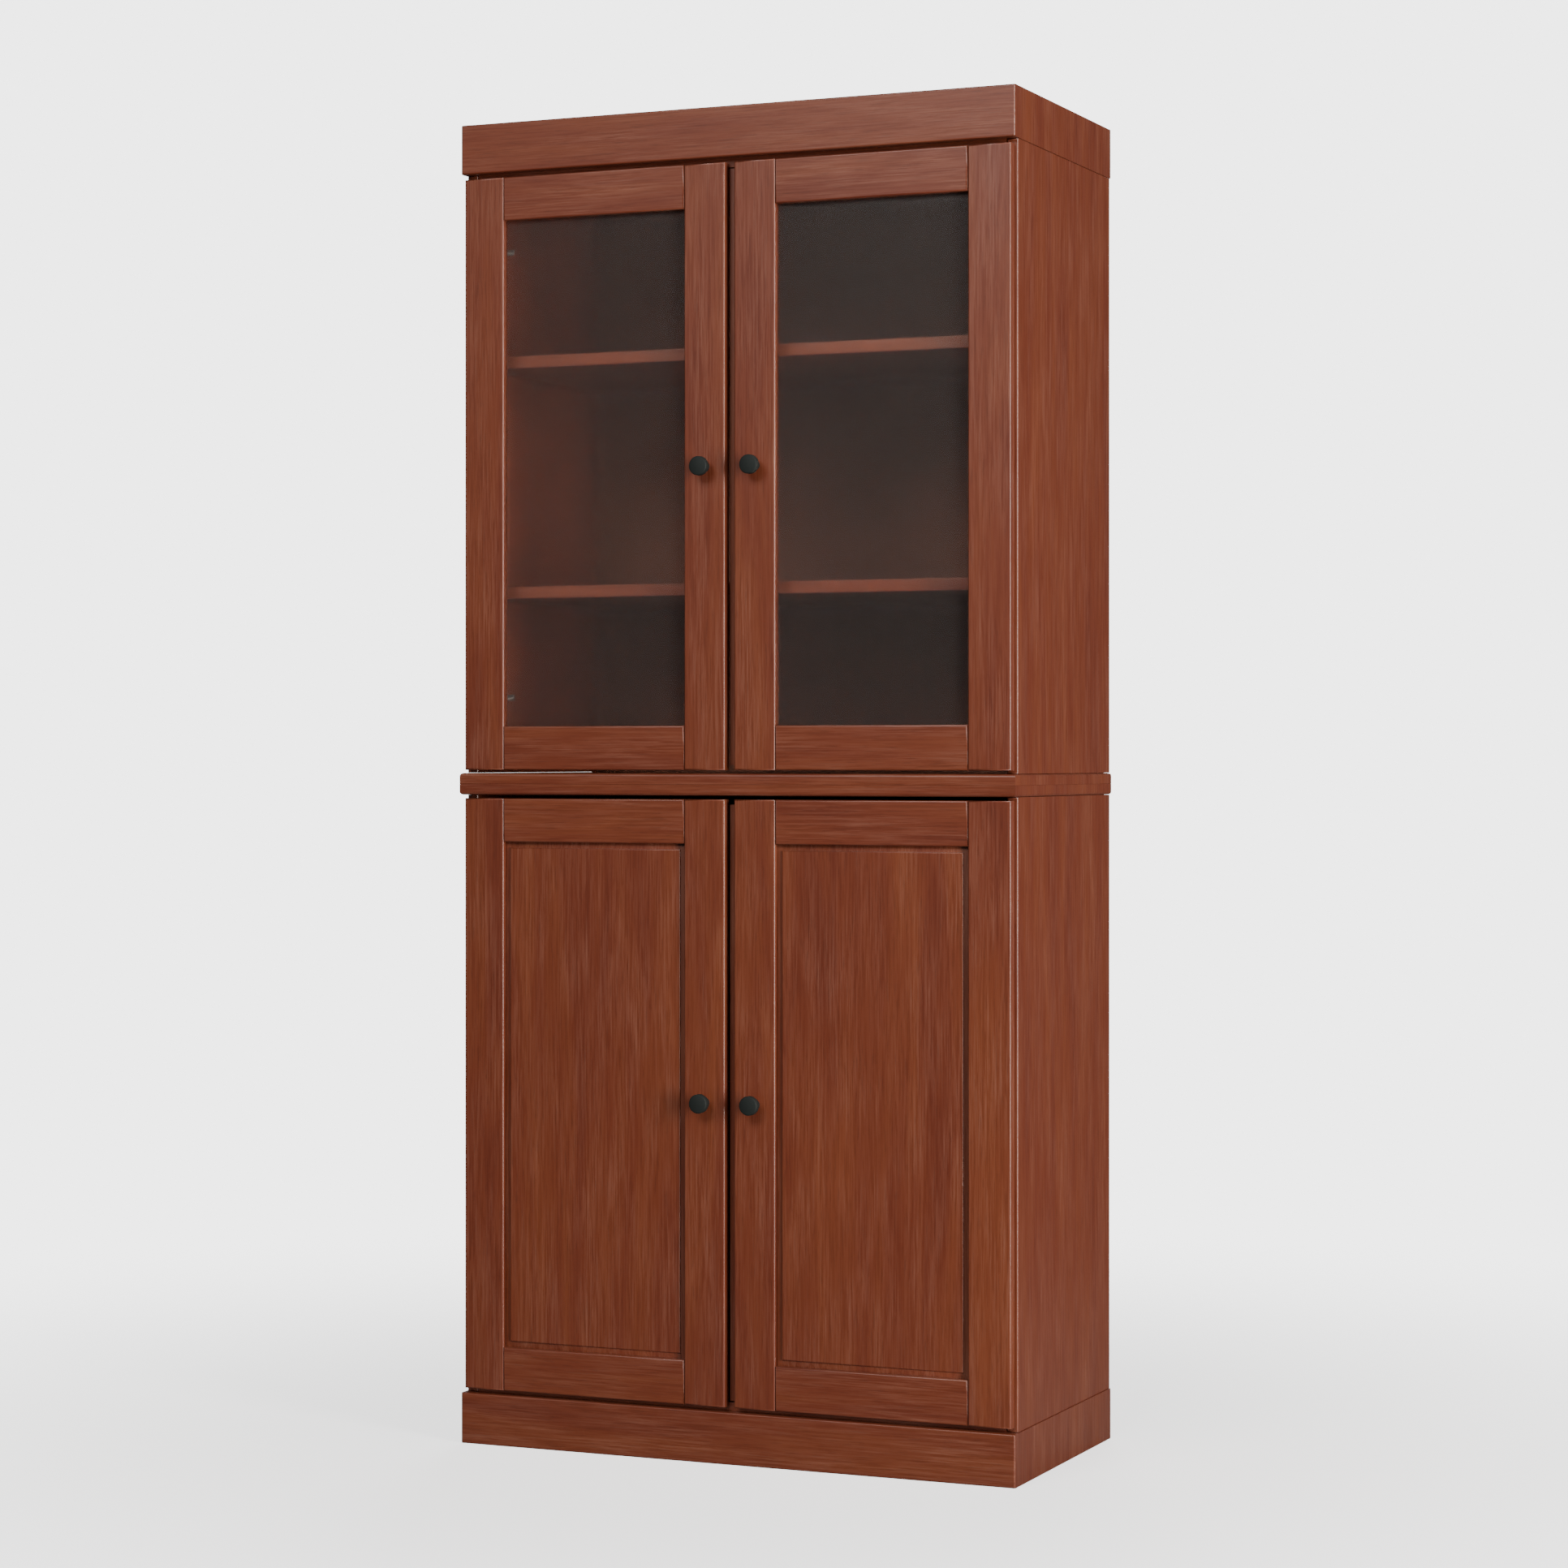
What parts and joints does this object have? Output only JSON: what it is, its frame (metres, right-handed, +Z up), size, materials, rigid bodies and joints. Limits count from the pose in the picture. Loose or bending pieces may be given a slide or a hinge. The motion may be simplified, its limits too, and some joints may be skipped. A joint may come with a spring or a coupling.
{
  "type": "china cabinet",
  "caption": "Tall freestanding wooden china cabinet: frosted glass doors over panelled doors, with plinth, belt moulding and boxed crown, for storing dishes.",
  "frame": {"origin": "on the floor, in the middle of the cabinet's box, knobs included", "axes": "+X to the right as seen from the front, +Y to the back, +Z up"},
  "size_m": [0.8184, 0.4136, 1.8288],
  "materials": {
    "cherry_wood": "satin cherry-brown lacquer over fine straight grain",
    "back_board": "matt printed hardboard",
    "frosted_glass": "etched, frosted",
    "black_metal": "matt black powder coat",
    "nickel": "nickel-plated steel"
  },
  "bodies": {
    "cabinet": {"crown_back": "cherry_wood", "crown_front": "cherry_wood", "crown_lid": "cherry_wood", "crown_side_left": "cherry_wood", "crown_side_right": "cherry_wood", "lower_back_panel": "back_board", "lower_floor_board": "cherry_wood", "lower_left_hinge_arm": "nickel", "lower_right_hinge_arm": "nickel", "lower_shelf": "cherry_wood", "lower_side_left": "cherry_wood", "lower_side_right": "cherry_wood", "lower_top_board": "cherry_wood", "plinth_back": "cherry_wood", "plinth_front": "cherry_wood", "plinth_side_left": "cherry_wood", "plinth_side_right": "cherry_wood", "upper_back_panel": "back_board", "upper_floor_board": "cherry_wood", "upper_left_hinge_arm": "nickel", "upper_right_hinge_arm": "nickel", "upper_shelf_high": "cherry_wood", "upper_shelf_low": "cherry_wood", "upper_side_left": "cherry_wood", "upper_side_right": "cherry_wood", "upper_top_board": "cherry_wood"},
    "upper_left_door": {"upper_left_bottom_rail": "cherry_wood", "upper_left_glass": "frosted_glass", "upper_left_hinge_cup": "nickel", "upper_left_inner_stile": "cherry_wood", "upper_left_knob": "black_metal", "upper_left_outer_stile": "cherry_wood", "upper_left_top_rail": "cherry_wood"},
    "upper_right_door": {"upper_right_bottom_rail": "cherry_wood", "upper_right_dust_strip": "cherry_wood", "upper_right_glass": "frosted_glass", "upper_right_hinge_cup": "nickel", "upper_right_inner_stile": "cherry_wood", "upper_right_knob": "black_metal", "upper_right_outer_stile": "cherry_wood", "upper_right_top_rail": "cherry_wood"},
    "lower_left_door": {"lower_left_bottom_rail": "cherry_wood", "lower_left_hinge_cup": "nickel", "lower_left_inner_stile": "cherry_wood", "lower_left_knob": "black_metal", "lower_left_outer_stile": "cherry_wood", "lower_left_panel": "cherry_wood", "lower_left_top_rail": "cherry_wood"},
    "lower_right_door": {"lower_right_bottom_rail": "cherry_wood", "lower_right_dust_strip": "cherry_wood", "lower_right_hinge_cup": "nickel", "lower_right_inner_stile": "cherry_wood", "lower_right_knob": "black_metal", "lower_right_outer_stile": "cherry_wood", "lower_right_panel": "cherry_wood", "lower_right_top_rail": "cherry_wood"},
    "upper_left_link": {"upper_left_hinge_link": "nickel"},
    "upper_right_link": {"upper_right_hinge_link": "nickel"},
    "lower_left_link": {"lower_left_hinge_link": "nickel"},
    "lower_right_link": {"lower_right_hinge_link": "nickel"}
  },
  "joints": [
    {"name": "upper_left_door_hinge", "type": "hinge", "parent": "cabinet", "child": "upper_left_door", "pos_m": [-0.4002, -0.1771, 1.3438], "axis": [0, 0, -1], "range_deg": [0, 105]},
    {"name": "upper_right_door_hinge", "type": "hinge", "parent": "cabinet", "child": "upper_right_door", "pos_m": [0.4002, -0.1771, 1.3438], "axis": [0, 0, 1], "range_deg": [0, 105]},
    {"name": "lower_left_door_hinge", "type": "hinge", "parent": "cabinet", "child": "lower_left_door", "pos_m": [-0.4002, -0.1771, 0.486], "axis": [0, 0, -1], "range_deg": [0, 105]},
    {"name": "lower_right_door_hinge", "type": "hinge", "parent": "cabinet", "child": "lower_right_door", "pos_m": [0.4002, -0.1771, 0.486], "axis": [0, 0, 1], "range_deg": [0, 105]},
    {"name": "upper_left_link_pivot", "type": "hinge", "parent": "cabinet", "child": "upper_left_link", "pos_m": [-0.3772, -0.1666, 1.653], "axis": [0, 0, -1], "range_deg": [0, 158]},
    {"name": "upper_right_link_pivot", "type": "hinge", "parent": "cabinet", "child": "upper_right_link", "pos_m": [0.3772, -0.1666, 1.653], "axis": [0, 0, 1], "range_deg": [0, 158]},
    {"name": "lower_left_link_pivot", "type": "hinge", "parent": "cabinet", "child": "lower_left_link", "pos_m": [-0.3772, -0.1666, 0.7951], "axis": [0, 0, -1], "range_deg": [0, 158]},
    {"name": "lower_right_link_pivot", "type": "hinge", "parent": "cabinet", "child": "lower_right_link", "pos_m": [0.3772, -0.1666, 0.7951], "axis": [0, 0, 1], "range_deg": [0, 158]}
  ],
  "couplings": [
    {"joint": "upper_left_link_pivot", "follows": "upper_left_door_hinge", "ratio": 1.5},
    {"joint": "upper_right_link_pivot", "follows": "upper_right_door_hinge", "ratio": 1.5},
    {"joint": "lower_left_link_pivot", "follows": "lower_left_door_hinge", "ratio": 1.5},
    {"joint": "lower_right_link_pivot", "follows": "lower_right_door_hinge", "ratio": 1.5}
  ]
}
